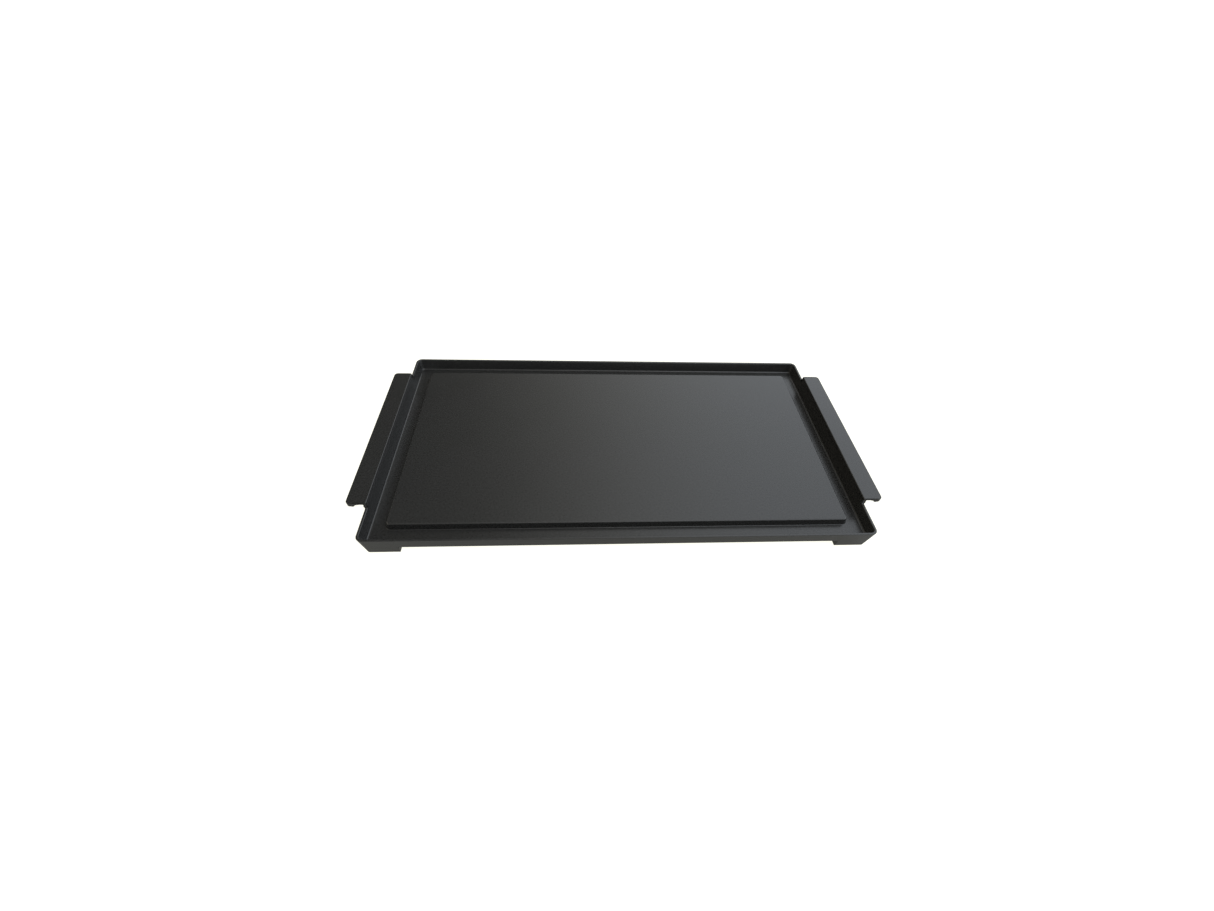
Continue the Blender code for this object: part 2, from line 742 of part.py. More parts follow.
def make_inlet_housing(material, steel):
    """Build the moulding that closes the inlet and takes the control's nose."""
    bm = bmesh.new()
    low = (-HOUSING_HALF_X, HOUSING_FRONT_Y, HOUSING_BOTTOM_Z)
    add_box(bm, low, (HOUSING_HALF_X, BLOCK_REAR_Y, HOUSING_TOP_Z))
    housing = make_object("inlet_housing", bm, material)
    bm = bmesh.new()
    overlap_y = BLOCK_REAR_Y - 4.0 * MM
    low = (-SOCKET_HALF_X, overlap_y, HOUSING_BOTTOM_Z + 0.2 * MM)
    add_box(bm, low, (SOCKET_HALF_X, SOCKET_REAR_Y - 0.2 * MM, HOUSING_TOP_Z - 0.2 * MM))
    apply_boolean(housing, bm, "UNION")
    bm = bmesh.new()
    outside_y = RIM_HALF_Y - 0.6 * MM
    low = (-SOCKET_HALF_X - 0.4 * MM, outside_y, HOUSING_BOTTOM_Z)
    add_box(bm, low, (SOCKET_HALF_X + 0.4 * MM, SOCKET_REAR_Y, SOCKET_TOP_Z))
    apply_boolean(housing, bm, "UNION")
    bm = bmesh.new()
    inner_x = HOUSING_HALF_X - HOUSING_WALL
    low = (-inner_x, HOUSING_FRONT_Y + HOUSING_WALL, HOUSING_FLOOR_Z)
    add_box(bm, low, (inner_x, BLOCK_FRONT_Y, 20.0 * MM))
    apply_boolean(housing, bm, "DIFFERENCE")
    socket_x = SOCKET_HALF_X - SOCKET_WALL
    floor_z = HOUSING_BOTTOM_Z + 1.6 * MM
    bm = bmesh.new()
    low = (-socket_x, BLOCK_REAR_Y + 0.2 * MM, floor_z)
    add_box(bm, low, (socket_x, SOCKET_REAR_Y + 5.0 * MM, HOUSING_TOP_Z - 1.5 * MM))
    apply_boolean(housing, bm, "DIFFERENCE")
    bm = bmesh.new()
    low = (-socket_x + 0.3 * MM, outside_y + SOCKET_WALL, floor_z + 0.3 * MM)
    add_box(bm, low, (socket_x - 0.3 * MM, SOCKET_REAR_Y + 6.0 * MM, SOCKET_TOP_Z - SOCKET_WALL))
    apply_boolean(housing, bm, "DIFFERENCE")
    bm = bmesh.new()
    bore = INSULATOR_RADIUS + BORE_GAP
    for x in (-PIN_X, 0.0, PIN_X):
        add_rod_along_y(bm, x, INLET_Z, bore, BLOCK_FRONT_Y - 2.0 * MM, BLOCK_REAR_Y + 2.0 * MM)
    x = EARTH_SCREW[0]
    slot_half = 2.5 * MM + BORE_GAP
    slot_z = SHEET / 2.0 + BORE_GAP
    low = (x - slot_half, BLOCK_FRONT_Y - 2.0 * MM, INLET_Z - slot_z)
    add_box(bm, low, (x + slot_half, BLOCK_REAR_Y + 2.0 * MM, INLET_Z + slot_z))
    apply_boolean(housing, bm, "DIFFERENCE")
    bm = bmesh.new()
    for place in HOUSING_SCREWS.values():
        add_rod(bm, place, 5.0 * MM, HOUSING_FLOOR_Z - 0.6 * MM, HOUSING_TOP_Z - 0.1 * MM)
    apply_boolean(housing, bm, "UNION")
    bm = bmesh.new()
    seat = HOUSING_BOTTOM_Z + 2.0 * MM
    for place in HOUSING_SCREWS.values():
        add_rod(bm, place, HEAD_RADIUS + GAP, 0.0, seat)
    apply_boolean(housing, bm, "DIFFERENCE")
    bm = bmesh.new()
    for place in HOUSING_SCREWS.values():
        add_rod(bm, place, SCREW_HOLE, 1.0 * MM, 14.0 * MM, 8)
    apply_boolean(housing, bm, "DIFFERENCE")
    for side, place in HOUSING_SCREWS.items():
        make_screw("housing_screw_" + side, place, seat - GAP, CEILING_Z - seat, steel)


# Cover, insulation and pads ----------------------------------------------


def add_inlet_notch(bm, clearance):
    """Add the cutter that makes room for the inlet housing."""
    half = HOUSING_HALF_X + clearance
    add_box(bm, (-half, HOUSING_FRONT_Y - clearance, 0.0), (half, 140.0 * MM, 20.0 * MM))


def make_mat(material):
    """Build the insulating mat between the element and the cover."""
    bm = bmesh.new()
    outlines = []
    for z in (MAT_BOTTOM_Z, MAT_TOP_Z):
        outlines.append(rounded_outline(MAT_HALF_X, MAT_HALF_Y, COVER_RADIUS - 7.0 * MM, z))
    skin(bm, outlines)
    mat = make_object("insulation_mat", bm, material)
    bm = bmesh.new()
    add_inlet_notch(bm, 1.0 * MM)
    for place in COVER_SCREWS.values():
        add_rod(bm, place, COVER_BOSS_RADIUS + 0.6 * MM, 0.0, 20.0 * MM, 8)
    apply_boolean(mat, bm, "DIFFERENCE")


def make_bottom_cover(material, steel):
    """Build the pressed sheet pan that closes the underside, and its screws."""
    bend = 2.0 * MM
    half_x = COVER_HALF_X
    half_y = COVER_HALF_Y
    bottom = COVER_BOTTOM_Z
    floor = bottom + SHEET
    outlines = [
        rounded_outline(half_x - bend, half_y - bend, COVER_RADIUS - bend, bottom),
        rounded_outline(half_x, half_y, COVER_RADIUS, bottom + bend),
        rounded_outline(half_x, half_y, COVER_RADIUS, COVER_TOP_Z),
        rounded_outline(half_x - SHEET, half_y - SHEET, COVER_RADIUS - SHEET, COVER_TOP_Z),
        rounded_outline(half_x - SHEET, half_y - SHEET, COVER_RADIUS - SHEET, bottom + bend),
        rounded_outline(half_x - bend - SHEET / 2.0, half_y - bend - SHEET / 2.0, COVER_RADIUS - bend, floor),
    ]
    bm = bmesh.new()
    skin(bm, outlines)
    cover = make_object("bottom_cover", bm, material)
    bm = bmesh.new()
    add_inlet_notch(bm, 0.6 * MM)
    for place in COVER_SCREWS.values():
        add_rod(bm, place, SCREW_HOLE, 0.0, MAT_BOTTOM_Z + 1.0 * MM, 8)
    apply_boolean(cover, bm, "DIFFERENCE")
    for where, place in COVER_SCREWS.items():
        make_screw("cover_screw_" + where, place, bottom - GAP, 11.0 * MM, steel)


def make_foot_pads(material):
    """Build the four pads pressed into the legs."""
    for name, side_x, side_y in corner_places():
        bm = bmesh.new()
        outlines = [
            circle_outline(PAD_RADIUS - 0.8 * MM, 0.0, 12),
            circle_outline(PAD_RADIUS, 0.8 * MM, 12),
            circle_outline(PAD_RADIUS, PAD_HEIGHT, 12),
        ]
        verts = skin(bm, outlines)
        place = pad_place(side_x, side_y)
        move_verts(bm, verts, offset=(place[0], place[1], 0.0))
        make_object("foot_pad_" + name, bm, material)


def main():
    """Build the whole griddle."""
    clear_scene()
    make_griddle_plate(nonstick_material())
    make_element()
    steel = steel_material()
    make_clamps(steel)
    make_pins(steel)
    make_sensor_sleeve(steel)
    make_earth_contact(brass_material(), steel)
    make_inlet_housing(phenolic_material(), steel)
    make_mat(mat_material())
    make_bottom_cover(cover_material(), steel)
    make_foot_pads(silicone_material())
    for piece in bpy.context.scene.collection.objects:
        piece.location.y = -ORIGIN_Y


main()
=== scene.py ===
"""Looks of the electric griddle: fine meshes, finishes, studio and camera.

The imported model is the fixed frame. Outer pieces are modelled again here at a
finer grain and stand for their plain solids; the pieces sealed inside keep their
solids and get a finish. Metres throughout, +Z up, +Y at the back.
"""

import logging
import math
from collections.abc import Callable
from dataclasses import dataclass, field
from enum import Enum

import bmesh
import bpy
from bmesh.types import BMEdge, BMesh, BMFace, BMVert
from mathutils import Matrix, Vector


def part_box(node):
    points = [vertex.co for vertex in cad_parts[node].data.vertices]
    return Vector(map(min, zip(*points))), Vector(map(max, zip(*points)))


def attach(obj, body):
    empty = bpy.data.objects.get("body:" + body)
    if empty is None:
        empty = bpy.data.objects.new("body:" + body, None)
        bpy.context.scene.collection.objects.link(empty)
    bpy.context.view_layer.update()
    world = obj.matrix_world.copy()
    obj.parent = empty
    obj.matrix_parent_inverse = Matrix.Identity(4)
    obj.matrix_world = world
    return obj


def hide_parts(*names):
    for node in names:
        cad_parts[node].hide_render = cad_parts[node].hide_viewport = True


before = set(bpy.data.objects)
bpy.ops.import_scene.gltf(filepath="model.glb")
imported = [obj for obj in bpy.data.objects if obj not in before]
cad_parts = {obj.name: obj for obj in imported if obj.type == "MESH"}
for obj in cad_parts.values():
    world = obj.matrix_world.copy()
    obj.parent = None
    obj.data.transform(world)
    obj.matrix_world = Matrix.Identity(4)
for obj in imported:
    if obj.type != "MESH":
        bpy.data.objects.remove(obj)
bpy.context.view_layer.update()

MM = 0.001
SLACK = 0.01 * MM  # how far off a plane a corner may lie and still count as on it
LOG = logging.getLogger("griddle")


class Side(Enum):
    """The two ends of the griddle, valued by their direction along X."""

    LEFT = -1.0
    RIGHT = 1.0


# Finishes -------------------------------------------------------------------


class Wire:
    """An output socket that takes part in arithmetic."""

    def __init__(self, sheet: "NodeSheet", socket: bpy.types.NodeSocket) -> None:
        """Keep the socket and the sheet it lies on."""
        self.sheet = sheet
        self.socket = socket

    def _math(self, operation: str, first: "Wire | float", second: "Wire | float") -> "Wire":
        """Add one Math node.

        Args:
            operation: The node's operation.
            first: Its first value.
            second: Its second value.

        Returns:
            The node's result.
        """
        return self.sheet.node("ShaderNodeMath", {"operation": operation}, {0: first, 1: second})

    def __add__(self, other: "Wire | float") -> "Wire":
        """Return self + other."""
        return self._math("ADD", self, other)

    def __radd__(self, other: float) -> "Wire":
        """Return other + self."""
        return self._math("ADD", other, self)

    def __sub__(self, other: "Wire | float") -> "Wire":
        """Return self - other."""
        return self._math("SUBTRACT", self, other)

    def __rsub__(self, other: float) -> "Wire":
        """Return other - self."""
        return self._math("SUBTRACT", other, self)

    def __mul__(self, other: "Wire | float") -> "Wire":
        """Return self * other."""
        return self._math("MULTIPLY", self, other)

    def __rmul__(self, other: float) -> "Wire":
        """Return other * self."""
        return self._math("MULTIPLY", other, self)


class NodeSheet:
    """The node tree of one material or of the world."""

    def __init__(self, owner: bpy.types.Material | bpy.types.World) -> None:
        """Open the owner's node tree."""
        owner.use_nodes = True
        self.tree = owner.node_tree

    def feed(self, socket: bpy.types.NodeSocket, value: object) -> None:
        """Link a wire to an input socket, or set its plain value."""
        if isinstance(value, Wire):
            self.tree.links.new(value.socket, socket)
        else:
            socket.default_value = value

    def node(
        self,
        kind: str,
        settings: dict[str, object] | None = None,
        inputs: dict[str | int, object] | None = None,
        output: str | int = 0,
    ) -> Wire:
        """Add a node.

        Args:
            kind: Its type name.
            settings: Its own properties; "stops" sets a colour ramp's (place, grey) pairs.
            inputs: Values or wires by socket name or number.
            output: The socket to return.

        Returns:
            The chosen output.
        """
        made = self.tree.nodes.new(kind)
        for name, value in (settings or {}).items():
            if name == "stops":
                self._set_stops(made.color_ramp, value)
            else:
                setattr(made, name, value)
        for name, value in (inputs or {}).items():
            self.feed(made.inputs[name], value)
        return Wire(self, made.outputs[output])

    @staticmethod
    def _set_stops(ramp: bpy.types.ColorRamp, stops: list[tuple[float, float]]) -> None:
        """Give a colour ramp two or more grey stops."""
        while len(ramp.elements) < len(stops):
            ramp.elements.new(1.0)
        for element, (place, grey) in zip(ramp.elements, stops):
            element.position = place
            element.color = (grey, grey, grey, 1.0)

    def object_place(self) -> Wire:
        """Return the point in object coordinates."""
        return self.node("ShaderNodeTexCoord", output="Object")

    def noise(self, scale: float, detail: float = 2.0, stretch: tuple = (1.0, 1.0, 1.0)) -> Wire:
        """Add noise in object coordinates.

        Args:
            scale: Waves per metre.
            detail: Octaves.
            stretch: Scale along each axis, for drawn or brushed grain.

        Returns:
            Values round 0.5.
        """
        spread = self.node("ShaderNodeMapping", inputs={"Vector": self.object_place(), "Scale": stretch})
        return self.node(
            "ShaderNodeTexNoise", inputs={"Vector": spread, "Scale": scale, "Detail": detail}
        )

    def blend(self, factor: Wire, low: tuple, high: tuple) -> Wire:
        """Mix two colours by a factor."""
        return self.node(
            "ShaderNodeMix",
            {"data_type": "RGBA"},
            {0: factor, 6: (*low, 1.0), 7: (*high, 1.0)},
            output=2,
        )

    def bump(self, height: Wire, depth: float) -> Wire:
        """Turn a height into a surface normal.

        Args:
            height: The pattern, 0 to 1.
            depth: What 1 is worth, in metres.

        Returns:
            The normal.
        """
        return self.node(
            "ShaderNodeBump",
            inputs={"Strength": 1.0, "Distance": depth, "Height": height},
        )


@dataclass(frozen=True)
class Finish:
    """One finish: two near colours, a sheen and a grain.

    The first noise is the grain that the eye sees close up, the second the
    larger cloudiness of a real batch of coating, metal or moulding.
    """

    name: str
    low: tuple[float, float, float]
    high: tuple[float, float, float]
    roughness: float
    metallic: float = 0.0
    grain_scale: float = 900.0
    grain_depth: float = 0.02 * MM
    cloud_scale: float = 30.0
    cloud_share: float = 0.4
    roughness_range: float = 0.08
    stretch: tuple[float, float, float] = (1.0, 1.0, 1.0)
    specular: float = 0.5

    def make(self) -> bpy.types.Material:
        """Return the material."""
        material = bpy.data.materials.new(self.name)
        sheet = NodeSheet(material)
        shader = sheet.tree.nodes["Principled BSDF"]
        grain = sheet.noise(self.grain_scale, 3.0, self.stretch)
        cloud = sheet.noise(self.cloud_scale, 2.0)
        shade = grain * (1.0 - self.cloud_share) + cloud * self.cloud_share
        contrast = sheet.node(
            "ShaderNodeValToRGB", {"stops": [(0.3, 0.0), (0.7, 1.0)]}, {"Fac": shade}
        )
        sheet.feed(shader.inputs["Base Color"], sheet.blend(contrast, self.low, self.high))
        base_roughness = self.roughness - self.roughness_range / 2.0
        sheet.feed(shader.inputs["Roughness"], base_roughness + cloud * self.roughness_range)
        sheet.feed(shader.inputs["Normal"], sheet.bump(grain, self.grain_depth))
        shader.inputs["Metallic"].default_value = self.metallic
        shader.inputs["Specular IOR Level"].default_value = self.specular
        material.diffuse_color = (*self.high, 1.0)
        return material


NONSTICK = Finish(
    "nonstick coating", (0.0125, 0.0125, 0.0120), (0.0205, 0.0205, 0.0200), 0.26,
    grain_scale=460.0, grain_depth=0.025 * MM, cloud_scale=24.0, cloud_share=0.1,
    roughness_range=0.03, specular=0.42,
)
SHEATH = Finish("sheath steel", (0.20, 0.21, 0.20), (0.32, 0.32, 0.30), 0.45, 1.0)
MAGNESIA = Finish("magnesia powder", (0.78, 0.76, 0.70), (0.86, 0.84, 0.79), 0.9)
ALLOY = Finish("resistance alloy", (0.38, 0.36, 0.33), (0.50, 0.48, 0.45), 0.4, 1.0)
ZINC_STEEL = Finish("zinc plated steel", (0.52, 0.53, 0.53), (0.68, 0.68, 0.66), 0.34, 1.0)
CERAMIC = Finish("ceramic", (0.82, 0.80, 0.74), (0.89, 0.87, 0.82), 0.5, grain_scale=500.0)
BRASS = Finish("brass", (0.62, 0.46, 0.20), (0.76, 0.59, 0.29), 0.33, 1.0)
PHENOLIC = Finish(
    "phenolic moulding", (0.018, 0.018, 0.018), (0.034, 0.033, 0.032), 0.4, grain_scale=700.0
)
FIBRE_MAT = Finish(
    "glass fibre mat", (0.62, 0.60, 0.54), (0.86, 0.85, 0.80), 0.95,
    grain_scale=160.0, grain_depth=0.4 * MM, stretch=(1.0, 6.0, 1.0),
)
GALVANISED = Finish(
    "galvanised sheet", (0.40, 0.41, 0.42), (0.62, 0.63, 0.64), 0.38, 1.0,
    grain_scale=140.0, grain_depth=0.008 * MM, cloud_scale=60.0, roughness_range=0.2,
)
SILICONE = Finish(
    "silicone", (0.030, 0.030, 0.030), (0.050, 0.050, 0.050), 0.7, grain_scale=1500.0
)


# Mesh tools -----------------------------------------------------------------


def new_parts(made: list, kind: type) -> list:
    """Pick the vertices, edges or faces out of an operator's result."""
    return [part for part in made if isinstance(part, kind)]


def finish_piece(
    bm: BMesh,
    name: str,
    finish: Finish,
    replaced: list[str],
    smooth_angle: float = 40.0,
) -> bpy.types.Object:
    """Turn a bmesh into a finished piece of the object.

    Args:
        bm: The mesh, in place in the frame; it is freed.
        name: The piece's name.
        finish: Its finish.
        replaced: The solids it stands for.
        smooth_angle: Edges that turn more than this stay sharp.

    Returns:
        The new object.
    """
    bmesh.ops.recalc_face_normals(bm, faces=bm.faces[:])
    mesh = bpy.data.meshes.new(name)
    bm.to_mesh(mesh)
    bm.free()
    mesh.shade_smooth()
    mesh.set_sharp_from_angle(angle=math.radians(smooth_angle))
    mesh.materials.append(material_of(finish))
    piece = bpy.data.objects.new(name, mesh)
    bpy.context.scene.collection.objects.link(piece)
    even = piece.modifiers.new("even shading", "WEIGHTED_NORMAL")
    even.keep_sharp = True
    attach(piece, "root")
    if replaced:
        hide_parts(*replaced)
    LOG.info("%s: %d faces", name, len(mesh.polygons))
    return piece


def material_of(finish: Finish) -> bpy.types.Material:
    """Return a finish's material, made once."""
    return bpy.data.materials.get(finish.name) or finish.make()


def dress_nodes(names: list[str], finish: Finish) -> None:
    """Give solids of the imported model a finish.

    Args:
        names: The nodes.
        finish: Their finish.
    """
    for name in names:
        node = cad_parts[name]
        node.data.materials.clear()
        node.data.materials.append(material_of(finish))
        LOG.info("%s: dressed in %s", name, finish.name)


def extend_ring(bm: BMesh, edges: list[BMEdge], place: Callable[[BMVert], Vector]) -> list[BMEdge]:
    """Extrude a ring of edges and move the new ring into place.

    Args:
        bm: The mesh.
        edges: The open ring.
        place: Gives each new vertex its position.

    Returns:
        The new open ring.
    """
    made = bmesh.ops.extrude_edge_only(bm, edges=edges)["geom"]
    verts = new_parts(made, BMVert)
    for vert in verts:
        vert.co = place(vert)
    fresh = set(verts)
    return [edge for edge in new_parts(made, BMEdge) if set(edge.verts) <= fresh]


def pull_faces(bm: BMesh, faces: list[BMFace], move: Callable[[BMVert], Vector]) -> list[BMFace]:
    """Extrude a patch of faces and move it.

    Args:
        bm: The mesh.
        faces: The patch.
        move: Gives each vertex of the patch its new position.

    Returns:
        The patch where it ends.
    """
    made = bmesh.ops.extrude_face_region(bm, geom=faces)["geom"]
    # The operator leaves the patch behind as a wall inside, so it's taken out.
    bmesh.ops.delete(bm, geom=[face for face in faces if face.is_valid], context="FACES")
    for vert in new_parts(made, BMVert):
        vert.co = move(vert)
    bm.normal_update()
    return new_parts(made, BMFace)


def bevel_edges(bm: BMesh, edges: list[BMEdge], offset: float, segments: int) -> None:
    """Round edges.

    Args:
        bm: The mesh.
        edges: The edges to round.
        offset: How far back on each face the rounding starts.
        segments: Faces across the rounding.
    """
    bmesh.ops.bevel(
        bm, geom=edges, offset=offset, offset_type="OFFSET", affect="EDGES",
        segments=segments, profile=0.5, material=-1, clamp_overlap=False,
    )
    bm.normal_update()


def sharp_edges(bm: BMesh, low: float, high: float) -> list[BMEdge]:
    """Find edges by how sharply their two faces turn.

    Args:
        bm: The mesh.
        low: The smallest signed turn in degrees, negative in a hollow.
        high: The largest.

    Returns:
        The edges between the two.
    """
    found = []
    for edge in bm.edges:
        if len(edge.link_faces) == 2:
            turn = math.degrees(edge.calc_face_angle_signed(0.0))
            if low < turn < high:
                found.append(edge)
    return found


# Casting --------------------------------------------------------------------


@dataclass(frozen=True)
class Bend:
    """A corner of the casting's section: inset from the rim, height, plan radius, rounding."""

    inset: float
    height: float
    plan_radius: float
    rounding: float = 0.0

    def point(self) -> Vector:
        """Return inset, height and plan radius as one vector."""
        return Vector((self.inset, self.height, self.plan_radius))


@dataclass
class Casting:
    """The one-piece casting: tray, raised cooking surface, handles and legs."""

    rim_half_x: float = 280.0 * MM
    rim_z: float = 29.1 * MM
    rim_width: float = 2.8 * MM
    rim_radius: float = 7.5 * MM
    edge_round: float = 0.8 * MM
    cook_z: float = 24.1 * MM
    channel_z: float = 15.6 * MM
    wall_foot_z: float = 13.1 * MM
    wall_draft: float = 2.4 * MM
    ceiling_z: float = 21.1 * MM
    cook_inset: float = 24.2 * MM
    step_draft: float = 1.2 * MM
    channel_inset: float = 6.2 * MM
    block_inset: float = 25.0 * MM
    hollow_inset: float = 26.6 * MM
    hollow_draft: float = 0.8 * MM
    handle_half_length: float = 110.8 * MM
    handle_corner: float = 4.0 * MM
    end_steps: int = 4
    flange: float = 3.0 * MM
    lip_width: float = 5.0 * MM
    lip_depth: float = 2.8 * MM
    leg_x: float = 239.5 * MM
    leg_y: float = 117.7 * MM
    leg_thickness: float = 6.0 * MM
    leg_end_draft: float = 1.2 * MM
    pad_block_x: float = 253.0 * MM
    pad_block_y: float = 126.7 * MM
    saddle_round: float = 2.2 * MM
    hollow_round: float = 1.1 * MM
    outer_round: float = 0.55 * MM
    corner_steps: int = 10
    round_steps: int = 4
    levels: dict[str, int] = field(default_factory=dict)

    def __post_init__(self) -> None:
        """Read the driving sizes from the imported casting."""
        low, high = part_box("griddle_plate")
        self.middle_y = (low.y + high.y) / 2.0
        self.rim_half_y = (high.y - low.y) / 2.0
        self.reach_x = high.x
        self.handle_z = high.z
        self.foot_z = low.z

    def bends(self) -> list[tuple[str, Bend]]:
        """Return the section's named corners, from the cooking surface out and back under."""
        inner_radius = self.rim_radius - self.rim_width
        foot_radius = self.rim_radius - self.wall_draft
        step_foot = self.cook_inset - self.step_draft
        leg_inner = self.wall_draft + self.leg_thickness
        hollow_top = self.hollow_inset + self.hollow_draft
        return [
            ("cook_edge", Bend(self.cook_inset, self.cook_z, 4.0 * MM, 1.8 * MM)),
            ("step_foot", Bend(step_foot, self.channel_z, 5.2 * MM, 0.9 * MM)),
            ("wall_foot", Bend(self.channel_inset, self.channel_z, 3.0 * MM, 1.7 * MM)),
            ("rim_inner", Bend(self.rim_width, self.rim_z, inner_radius, self.edge_round)),
            ("rim_outer", Bend(0.0, self.rim_z, self.rim_radius, self.edge_round)),
            ("wall_end", Bend(self.wall_draft, self.wall_foot_z, foot_radius, 1.0 * MM)),
            ("leg_inner", Bend(leg_inner, self.wall_foot_z, 2.5 * MM)),
            ("block_inner", Bend(self.block_inset, self.wall_foot_z, 1.5 * MM)),
            ("hollow_mouth", Bend(self.hollow_inset, self.wall_foot_z, 7.8 * MM, 0.3 * MM)),
            ("hollow_top", Bend(hollow_top, self.ceiling_z, 7.0 * MM, 1.5 * MM)),
        ]

    def section(self) -> list[Vector]:
        """Return the rounded section as (inset, height, plan radius) vectors.

        The place of each rounding in the list is kept in levels, as NAME_start
        and NAME_end.
        """
        named = self.bends()
        points = [bend.point() for _, bend in named]
        # The cooking surface and the ceiling are flat, so the section starts and ends inward.
        inward = Vector((5.0 * MM, 0.0, 0.0))
        before_first = points[0] + inward
        after_last = points[-1] + inward
        chain = [before_first, *points, after_last]
        rings: list[Vector] = []
        for index, (name, bend) in enumerate(named, start=1):
            here = chain[index]
            arrive = self._towards(here, chain[index - 1], bend.rounding)
            leave = self._towards(here, chain[index + 1], bend.rounding)
            steps = self.round_steps if bend.rounding else 0
            self.levels[name + "_start"] = len(rings)
            for step in range(steps + 1):
                share = step / max(steps, 1)
                rings.append(arrive.lerp(here, share).lerp(here.lerp(leave, share), share))
            self.levels[name + "_end"] = len(rings) - 1
        return rings

    @staticmethod
    def _towards(start: Vector, end: Vector, distance: float) -> Vector:
        """Return the point at a distance from start on the way to end, in the section's plane."""
        run = end - start
        return start + run * (distance / Vector((run.x, run.y)).length)

    def side_breaks(self) -> tuple[list[float], list[float]]:
        """Return where the long and the short sides are divided, as positive offsets."""
        corner = self.handle_corner
        ends = []
        for step in range(self.end_steps + 1):
            turn = math.radians(90.0 * step / self.end_steps)
            ends.append(self.handle_half_length - corner * (1.0 - math.sin(turn)))
        return [self.leg_x, self.pad_block_x], [*ends, self.leg_y, self.pad_block_y]

    def outline(self, inset: float, plan_radius: float) -> list[Vector]:
        """Return a rounded rectangle inside the rim, anticlockwise.

        Args:
            inset: How far it lies inside the rim's outer edge.
            plan_radius: The radius of its corners.

        Returns:
            Points at height 0, as many for every inset.
        """
        run_x = self.rim_half_x - inset - plan_radius
        run_y = self.rim_half_y - inset - plan_radius
        long_breaks, short_breaks = self.side_breaks()
        half: list[Vector] = []
        half += self._corner(run_x, run_y, plan_radius, 0.0)
        along_x = self._kept_inside(long_breaks, run_x)
        half += [Vector((x, run_y + plan_radius, 0.0)) for x in reversed(along_x)]
        half += [Vector((-x, run_y + plan_radius, 0.0)) for x in along_x]
        half += self._corner(-run_x, run_y, plan_radius, 90.0)
        along_y = self._kept_inside(short_breaks, run_y)
        half += [Vector((-run_x - plan_radius, y, 0.0)) for y in reversed(along_y)]
        half += [Vector((-run_x - plan_radius, -y, 0.0)) for y in along_y]
        return half + [-point for point in half]

    def _corner(self, x: float, y: float, radius: float, start: float) -> list[Vector]:
        """Return a quarter circle about (x, y) from an angle in degrees."""
        arc = []
        for step in range(self.corner_steps + 1):
            angle = math.radians(start + 90.0 * step / self.corner_steps)
            arc.append(Vector((x + radius * math.cos(angle), y + radius * math.sin(angle), 0.0)))
        return arc

    @staticmethod
    def _kept_inside(breaks: list[float], run: float) -> list[float]:
        """Draw back the breaks that would pass the end of a straight run."""
        room = 0.4 * MM
        count = len(breaks)
        return [min(place, run - room * (count - index)) for index, place in enumerate(breaks)]

    def build(self) -> bpy.types.Object:
        """Model the casting and return its piece."""
        bm = bmesh.new()
        self.station = bm.verts.layers.int.new("station")
        self.level = bm.verts.layers.int.new("level")
        self._raise_tray(bm)
        for side in Side:
            self._pull_handle(bm, side)
        self._pull_legs(bm)
        bmesh.ops.recalc_face_normals(bm, faces=bm.faces[:])
        self._round_joins(bm)
        bmesh.ops.translate(bm, verts=bm.verts[:], vec=(0.0, self.middle_y, 0.0))
        return finish_piece(
            bm, "griddle_casting", NONSTICK, ["griddle_plate"]
        )

    def _raise_tray(self, bm: BMesh) -> None:
        """Draw the tray ring by ring from the cooking surface to the ceiling underneath."""
        rings = self.section()
        outlines = [self.outline(ring.x, ring.z) for ring in rings]
        count = len(outlines[0])
        first = bmesh.ops.create_circle(bm, cap_ends=True, segments=count, radius=1.0)["verts"]
        for index, vert in enumerate(first):
            vert[self.station] = index
            vert.co = outlines[0][index] + Vector((0.0, 0.0, rings[0].y))
        edges = bm.edges[:]
        for number in range(1, len(rings)):
            height = Vector((0.0, 0.0, rings[number].y))

            def place(vert: BMVert, number: int = number, height: Vector = height) -> Vector:
                """Put a vertex on this ring and note the ring's number."""
                vert[self.level] = number
                return outlines[number][vert[self.station]] + height

            edges = extend_ring(bm, edges, place)
        bmesh.ops.contextual_create(bm, geom=edges)
        bm.normal_update()

    def _faces_between(self, bm: BMesh, first: str, last: str) -> list[BMFace]:
        """Return the faces of the section between two named levels."""
        low, high = self.levels[first], self.levels[last]
        return [
            face
            for face in bm.faces
            if len(face.verts) == 4 and all(low <= v[self.level] <= high for v in face.verts)
        ]

    def _trim(self, y: float) -> float:
        """Return how far the handle's rounded end draws its outer edge in at y."""
        past = abs(y) - (self.handle_half_length - self.handle_corner)
        if past <= 0.0:
            return 0.0
        share = min(past / self.handle_corner, 1.0)
        return self.handle_corner * (1.0 - math.sqrt(1.0 - share * share))

    def _pull_handle(self, bm: BMesh, side: Side) -> None:
        """Draw one handle up out of the rim, outwards, and down into its lip."""
        sign = side.value
        end_y = self.handle_half_length + SLACK
        rim = [
            face
            for face in self._faces_between(bm, "rim_inner_start", "rim_outer_end")
            if all(v.co.x * sign > 0.0 and abs(v.co.y) < end_y for v in face.verts)
        ]
        rim_foot = self.rim_z - self.edge_round
        flange_foot = self.handle_z - self.flange
        neck = Vector((0.0, 0.0, flange_foot - rim_foot))
        rise = Vector((0.0, 0.0, self.handle_z - self.rim_z)) - neck
        rim = pull_faces(bm, rim, lambda vert: vert.co + neck)
        rim = pull_faces(bm, rim, lambda vert: vert.co + rise)
        outer_level = self.levels["rim_outer_start"]
        outer = [
            face
            for face in bm.faces
            if abs(face.normal.y) < 0.5
            and all(
                v.co.x * sign > 0.0
                and v.co.z > flange_foot - SLACK
                and v[self.level] >= outer_level
                for v in face.verts
            )
        ]
        lip_inner = self.reach_x - self.lip_width

